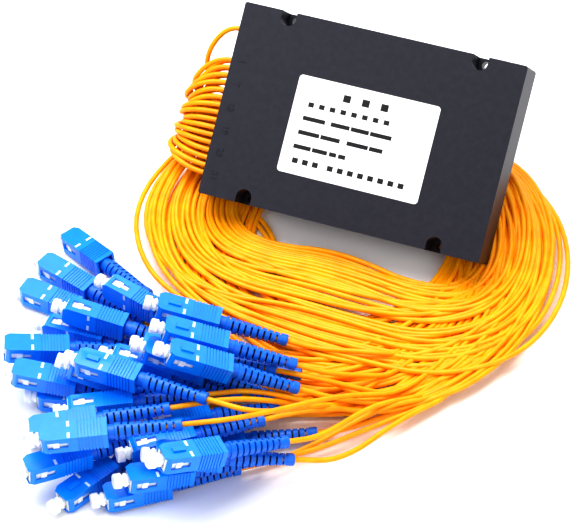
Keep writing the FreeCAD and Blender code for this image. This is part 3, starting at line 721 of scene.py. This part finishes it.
def grip_master(settings):
    """The push-pull sleeve with its windows, grooves and two printed marks on each broad side."""
    # Moulded PBT: smooth faces, a little uneven, with soft highlights.
    plastic = material(
        "Moulded PBT blue", settings.grip_colour, 0.3, shades=(settings.grip_colour, "#098cf8"),
        mottle_mm=4, grain_mm=(0.35, 0.004))
    # Pad-printed ink: matt white with thin patches.
    ink = material(
        "Pad-printed white ink", "#dff1f7", 0.6, shades=("#cfeaf5", "#eefafc"), mottle_mm=0.5)
    mesh = from_cad("grip_01")
    mesh.transform(connector_matrix(CONNECTORS[0]).inverted())
    made = link("grip_master", mesh, plastic, ink)
    tail = bmesh.new()
    add_block(tail, *WINDOW_TAIL)
    cutter = link("window_tail", from_bmesh(tail))
    cut = made.modifiers.new("window tail", "BOOLEAN")
    cut.operation, cut.solver, cut.object = "DIFFERENCE", "EXACT", cutter
    settle(made)
    bpy.data.objects.remove(cutter)
    ease_edges(made, GRIP_EDGE)
    grow(made, groove_tree(), First_groove=FIRST_GROOVE * MM, Pitch=GROOVE_PITCH * MM,
         Count=settings.grooves, Groove_width=GROOVE_WIDTH * MM, Sleeve_width=GRIP_WIDTH * MM,
         Sleeve_height=GRIP_HEIGHT * MM, Depth=GROOVE_DEPTH * MM, Finish=plastic)
    marks = bmesh.new()
    marks.from_mesh(made.data)
    for face in (-1, 1):
        for side in (-1, 1):
            across = sorted(side * edge for edge in MARK_WIDTH)
            up = sorted(face * edge for edge in MARK_HEIGHT)
            add_block(marks, *zip(MARK_LENGTH, across, up), index=1)
    made.data = from_bmesh(marks)
    made.data.materials.append(plastic)
    made.data.materials.append(ink)
    return made


class SPLITTER_OT_grips(bpy.types.Operator):
    """Make the push-pull sleeves, one for each connector"""
    bl_idname = "splitter.grips"
    bl_label = "Grips"

    def execute(self, context):
        master = grip_master(context.scene.splitter_connectors)
        for number, row in enumerate(CONNECTORS, 1):
            mesh = master.data.copy()
            mesh.transform(connector_matrix(row))
            sleeve = link("sleeve_%02d" % number, mesh)
            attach(sleeve, "grip_%02d_body" % number)
            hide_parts("grip_%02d" % number)
        bpy.data.objects.remove(master)
        return {"FINISHED"}


class SPLITTER_OT_bend_guards(bpy.types.Operator):
    """Make the slotted bend guards behind the connectors"""
    bl_idname = "splitter.bend_guards"
    bl_label = "Bend guards"

    def execute(self, context):
        settings = context.scene.splitter_connectors
        # Injection-moulded TPE: softer and duller than the grips, with a fine matt grain.
        rubber = material(
            "Moulded TPE blue", settings.boot_colour, 0.42,
            shades=(settings.boot_colour, "#0c72e2"), mottle_mm=3, grain_mm=(0.3, 0.006))
        made = link("bend_guards", lathe(BOOT_PROFILE, SIDES), rubber)
        grow(made, slot_tree(), First_slot=FIRST_SLOT * MM, Half_pitch=SLOT_HALF_PITCH * MM,
             Count=settings.slots, Width=settings.slot_width, Web=SLOT_WEB * MM, Finish=rubber)
        made.data = copies(made.data)
        made.data.materials.append(rubber)
        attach(made, "splitter")
        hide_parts("boots")
        # Heat-shrink sleeve over the crimp: black, faintly glossy, seen through the slots.
        shrink = material(
            "Heat-shrink sleeve black", "#0c0c0e", 0.4, shades=("#0a0a0c", "#151518"),
            grain_mm=(0.4, 0.01))
        sleeves = link("crimp_sleeves", lathe(CRIMP_PROFILE, CRIMP_SIDES), shrink)
        settle(sleeves)
        sleeves.data = copies(sleeves.data)
        sleeves.data.materials.append(shrink)
        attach(sleeves, "splitter")
        return {"FINISHED"}


class SPLITTER_OT_dust_caps(bpy.types.Operator):
    """Make the push-on dust caps"""
    bl_idname = "splitter.dust_caps"
    bl_label = "Dust caps"

    def execute(self, context):
        # Moulded polyethylene: milky, and light passes a little way into it.
        milky = material(
            "Moulded polyethylene natural", "#f4f6f7", 0.35, 1.51, ("#eef1f3", "#fbfcfc"), 1.5,
            (0.4, 0.004), **{"Subsurface Weight": 0.35, "Subsurface Scale": 0.002})
        made = link("caps", lathe(CAP_PROFILE, SIDES), milky)
        settle(made)
        made.data = copies(made.data)
        made.data.materials.append(milky)
        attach(made, "splitter")
        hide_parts("dust_caps")
        return {"FINISHED"}


# ---- box ----
class BoxSettings(bpy.types.PropertyGroup):
    box_colour: bpy.props.StringProperty(
        name="Box colour", description="sRGB hex value of the box", default="#1d1d29")
    print_colour: bpy.props.StringProperty(
        name="Print colour", description="sRGB hex value of the label's bars", default="#08080a")


BOX_PLASTIC = "Moulded ABS black textured"
CASING_EDGE, COVER_EDGE = 0.45, 0.25       # how far the edges are eased, millimetres


class SPLITTER_OT_box(bpy.types.Operator):
    """Make the box with eased edges, and its cover"""
    bl_idname = "splitter.box"
    bl_label = "Box"

    def execute(self, context):
        colour = context.scene.splitter_box.box_colour
        # Moulded ABS with a spark-eroded texture: matt grain on black, a sheen at low angles.
        plastic = material(BOX_PLASTIC, colour, 0.46, shades=(colour, "#232330"), mottle_mm=2.5,
                           grain_mm=(0.7, 0.02))
        for name, replaced, width in (
                ("casing", "box_shell", CASING_EDGE), ("cover", "back_cover", COVER_EDGE)):
            made = link(name, from_cad(replaced), plastic)
            ease_edges(made, width)
            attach(made, "splitter")
            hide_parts(replaced)
        return {"FINISHED"}


# The label and the port numbers, millimetres.
LABEL_WIDTH, LABEL_THICKNESS, LABEL_OFFSET = 40.0, 0.2, -3.5
PRINT_DEPTH = (-0.02, 0.03)                # under and over the label's face
NUMBERED_COLUMNS = range(0, PORT_COLUMNS, 3)
NUMERAL_SIZE, NUMERAL_RELIEF, NUMERAL_INSET = 4.0, 0.3, 4.6
# The label's printed rows, as millimetres: the place of each row's middle below the label's top
# edge, its height, and where along the row each bar starts and how long it is.
PRINT_ROWS = [
    (5.6, 2.9, [(-10.0, 3.1), (-2.0, 3.1), (6.0, 3.1)]),
    (11.2, 1.9, [(-23.6 + 4.6 * n, 2.3) for n in range(8)]),
    (16.9, 1.7, [(-24.5, 9.5), (-12.5, 8.0), (-3.9, 7.6), (4.3, 9.0)]),
    (22.8, 1.7, [(-25.0, 9.0), (-15.4, 8.2), (-4.2, 9.0), (5.4, 5.6)]),
    (28.7, 1.7, [(-25.5, 7.4), (-17.5, 6.4), (-10.2, 3.0), (-6.3, 3.0)]),
    (34.4, 2.1, [(-24.6 + 4.3 * n, 2.4) for n in range(3)]
        + [(-9.6 + 4.3 * n, 2.4) for n in range(8)]),
]


class SPLITTER_OT_numerals(bpy.types.Operator):
    """Raise plain port numbers beside the ports"""
    bl_idname = "splitter.numerals"
    bl_label = "Port numbers"

    def execute(self, context):
        bm = bmesh.new()
        for column in NUMBERED_COLUMNS:
            text = bpy.data.curves.new("numeral", "FONT")
            text.body = str(2 * column + 1)
            text.size, text.extrude, text.resolution_u = NUMERAL_SIZE, NUMERAL_RELIEF, 3
            text.align_x, text.align_y = "CENTER", "CENTER"
            shown = bpy.data.objects.new("numeral", text)
            context.scene.collection.objects.link(shown)
            context.view_layer.update()
            mesh = bpy.data.meshes.new_from_object(
                shown.evaluated_get(context.evaluated_depsgraph_get()))
            bpy.data.objects.remove(shown)
            v = FIRST_PORT - column * PORT_PITCH
            mesh.transform(
                Matrix.Translation((-BOX_LENGTH / 2 + NUMERAL_INSET, v, BOX_HEIGHT / 2))
                @ Matrix.Rotation(math.radians(-90), 4, "Z"))
            for vert in mesh.vertices:
                vert.co = on_box(*vert.co)
            bm.from_mesh(mesh)
        made = link("port_numbers", from_bmesh(bm), bpy.data.materials[BOX_PLASTIC])
        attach(made, "splitter")
        return {"FINISHED"}


class SPLITTER_OT_label(bpy.types.Operator):
    """Print the label with plain bars"""
    bl_idname = "splitter.label"
    bl_label = "Label print"

    def execute(self, context):
        colour = context.scene.splitter_box.print_colour
        # Thermal-transfer resin: dense black, slightly glossier than the paper.
        ink = material(
            "Thermal-transfer print", colour, 0.45, shades=(colour, "#141417"), mottle_mm=0.4)
        top = LABEL_OFFSET + LABEL_WIDTH / 2
        face = BOX_HEIGHT / 2 + LABEL_THICKNESS
        under, over = PRINT_DEPTH
        bm = bmesh.new()
        for below, high, bars in PRINT_ROWS:
            for start, long in bars:
                add_block(bm, (start, top - below - high / 2, face + under),
                          (start + long, top - below + high / 2, face + over),
                          place=lambda p: on_box(*(p / MM)))
        made = link("label_print", from_bmesh(bm), ink)
        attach(made, "splitter")
        return {"FINISHED"}


# ---- finishes of the pieces that keep their shape ----
# Node, material, colour, second shade, roughness, IOR, grain in mm, depth in mm, more sockets.
FINISHES = {
    # Coated paper, die cut: bright, nearly flat, faint fibres.
    "label": ("Coated label paper", "#f6f6f6", "#fcfcfc", 0.5, 1.5, 0.5, 0.004, {}),
    # Moulded silicone rubber: dull black, soft.
    "port_seal": ("Silicone rubber black", "#1b1b1e", "#242428", 0.6, 1.43, 0.4, 0.01, {}),
    "input_seal": ("Silicone rubber black", "#1b1b1e", "#242428", 0.6, 1.43, 0.4, 0.01, {}),
    # Acrylic foam tape: closed cells, matt.
    "adhesive_pad": ("Acrylic foam tape", "#e2e2dd", "#eeeeea", 0.85, 1.48, 0.3, 0.03, {}),
    # Drawn stainless steel: fine lines give a broad highlight.
    "splitter_tube": ("Drawn stainless steel", "#b9bcc0", "#c8cbce", 0.32, 1.5, 0.25, 0.003,
                      {"Metallic": 1.0}),
    # Cast epoxy: dark and glossy with a skin.
    "tube_plugs": ("Cast epoxy black", "#19191b", "#222225", 0.25, 1.55, 1.0, 0.01, {}),
    # Polished silica on silicon: clear and sharp.
    "splitter_chip": ("Polished silica", "#dfe9ea", "#e8f0f0", 0.05, 1.46, 1.0, 0.001,
                      {"Transmission Weight": 0.7}),
    "input_array": ("Polished borosilicate glass", "#e2eceb", "#ebf2f1", 0.08, 1.47, 1.0, 0.001,
                    {"Transmission Weight": 0.7}),
    "output_array": ("Polished borosilicate glass", "#e2eceb", "#ebf2f1", 0.08, 1.47, 1.0, 0.001,
                     {"Transmission Weight": 0.7}),
    # Moulded ABS: smooth black block.
    "fanout_block": ("Moulded ABS black", "#202024", "#2a2a2e", 0.4, 1.54, 0.5, 0.01, {}),
    # Acrylate-coated fibre ribbon: thin, clear white, glossy.
    "ribbon_fibres": ("Acrylate-coated fibre ribbon", "#d9dcdc", "#e8ebeb", 0.25, 1.5, 0.3, 0.004,
                      {}),
    # Tight buffer over one fibre: white and satin.
    "input_fibre": ("Tight-buffered fibre", "#eceded", "#f5f6f6", 0.4, 1.5, 0.4, 0.003, {}),
    # Moulded white PBT: seen in the windows and at the fronts.
    "plug_frames": ("Moulded PBT white", "#eceeef", "#f7f8f8", 0.36, 1.5, 0.4, 0.005, {}),
    # Ground zirconia ceramic: very smooth, white, bright highlight.
    "ferrules": ("Ground zirconia", "#f3f1ea", "#faf8f2", 0.12, 2.1, 0.5, 0.001, {}),
    # Coiled spring steel wire.
    "ferrule_springs": ("Spring steel wire", "#a9abad", "#bcbec0", 0.35, 1.5, 0.4, 0.01,
                        {"Metallic": 1.0}),
    # Nickel plate on turned brass: a warm grey with a clear highlight.
    "stop_bodies": ("Nickel-plated brass", "#c2bfb6", "#d0cdc4", 0.25, 1.5, 0.4, 0.003,
                    {"Metallic": 1.0}),
}


class SPLITTER_OT_finishes(bpy.types.Operator):
    """Give the pieces that keep their shape their materials"""
    bl_idname = "splitter.finishes"
    bl_label = "Finishes"

    def execute(self, context):
        made = {}
        for name, facts in FINISHES.items():
            title, colour, shade, roughness, ior, size, depth, more = facts
            if title not in made:
                made[title] = material(
                    title, colour, roughness, ior, (colour, shade), grain_mm=(size, depth), **more)
            piece = frame["nodes"][name]
            piece.data.materials.clear()
            piece.data.materials.append(made[title])
        return {"FINISHED"}


# ---- stage ----
CAMERA_PLACE = (270.7, -731.0, 745.6)      # over the ground, millimetres
CAMERA_PITCH, CAMERA_HEADING, CAMERA_ROLL = 45, 22.69, -1.98       # degrees
SENSOR_WIDTH, FAR_CLIP = 36, 20            # millimetres, metres
FLOOR_SIZE = 12                            # metres
# Name, place in metres, size, power and colour. Every light looks at the origin.
LIGHTS = [
    ("key", (-0.35, 0.15, 1.35), 1.2, 21, "#ffffff"),
    ("side", (-0.45, -0.5, 0.55), 0.3, 0.8, "#f2f4ff"),
    ("fill", (1.1, -0.9, 0.9), 1.2, 6, "#fff8f0"),
    ("back", (0.2, 1.3, 1.0), 1.0, 4, "#f4f8ff"),
]
ROOM_COLOUR, ROOM_STRENGTH = "#ffffff", 0.38


class StageSettings(bpy.types.PropertyGroup):
    lens: bpy.props.FloatProperty(
        name="Lens", description="Of the camera", default=161.1, unit="CAMERA")


class SPLITTER_OT_stage(bpy.types.Operator):
    """Set the floor, the lights and the camera"""
    bl_idname = "splitter.stage"
    bl_label = "Stage"

    def execute(self, context):
        scene = context.scene
        camera = bpy.data.objects.new("camera", bpy.data.cameras.new("camera"))
        camera.data.lens = scene.splitter_stage.lens
        camera.data.sensor_width = SENSOR_WIDTH
        camera.data.clip_end = FAR_CLIP
        turn = Euler((math.radians(CAMERA_PITCH), 0, math.radians(CAMERA_HEADING))).to_matrix()
        roll = Matrix.Rotation(math.radians(CAMERA_ROLL), 3, "Z")
        camera.matrix_world = Matrix.Translation(
            on_ground(*CAMERA_PLACE)) @ (turn @ roll).to_4x4()
        scene.collection.objects.link(camera)
        scene.camera = camera
        bpy.ops.mesh.primitive_plane_add(size=FLOOR_SIZE, location=(0, 0, GROUND))
        floor = context.object
        floor.name = "floor"
        floor.data.materials.append(material("Matt white paper sweep", "#fbfbfc", 0.9))
        for name, place, size, power, colour in LIGHTS:
            lamp = bpy.data.lights.new(name, "AREA")
            lamp.energy, lamp.size, lamp.color = power, size, linear(colour)[:3]
            light = bpy.data.objects.new(name, lamp)
            light.location = place
            light.rotation_euler = (-Vector(place)).to_track_quat("-Z", "Y").to_euler()
            scene.collection.objects.link(light)
        world = bpy.data.worlds.new("white room")
        world.use_nodes = True
        room = world.node_tree.nodes["Background"].inputs
        room["Color"].default_value = linear(ROOM_COLOUR)
        room["Strength"].default_value = ROOM_STRENGTH
        scene.world = world
        scene.view_settings.view_transform = "Standard"
        scene.view_settings.look = "High Contrast"
        return {"FINISHED"}


class SPLITTER_PT_panel(bpy.types.Panel):
    """The pieces of the splitter, one button each"""
    bl_idname = "SPLITTER_PT_panel"
    bl_label = "Splitter"
    bl_space_type = "VIEW_3D"
    bl_region_type = "UI"
    bl_category = "Splitter"

    def draw(self, context):
        for operator in OPERATORS:
            self.layout.operator(operator.bl_idname)
        for name in GROUPS:
            for item in getattr(context.scene, name).bl_rna.properties:
                if item.identifier not in ("rna_type", "name"):
                    self.layout.prop(getattr(context.scene, name), item.identifier)


OPERATORS = [
    SPLITTER_OT_stage, SPLITTER_OT_grips, SPLITTER_OT_bend_guards, SPLITTER_OT_dust_caps,
    SPLITTER_OT_leads, SPLITTER_OT_box, SPLITTER_OT_numerals, SPLITTER_OT_label,
    SPLITTER_OT_finishes,
]
GROUPS = {
    "splitter_leads": LeadSettings, "splitter_connectors": ConnectorSettings,
    "splitter_box": BoxSettings, "splitter_stage": StageSettings,
}


def register():
    for cls in [*GROUPS.values(), *OPERATORS, SPLITTER_PT_panel]:
        bpy.utils.register_class(cls)
    for name, cls in GROUPS.items():
        setattr(bpy.types.Scene, name, bpy.props.PointerProperty(type=cls))


def unregister():
    for name in GROUPS:
        delattr(bpy.types.Scene, name)
    for cls in [SPLITTER_PT_panel, *OPERATORS[::-1], *GROUPS.values()]:
        bpy.utils.unregister_class(cls)


def main():
    register()
    for operator in OPERATORS:
        group, name = operator.bl_idname.split(".")
        getattr(getattr(bpy.ops, group), name)()


if __name__ == "__main__":
    main()
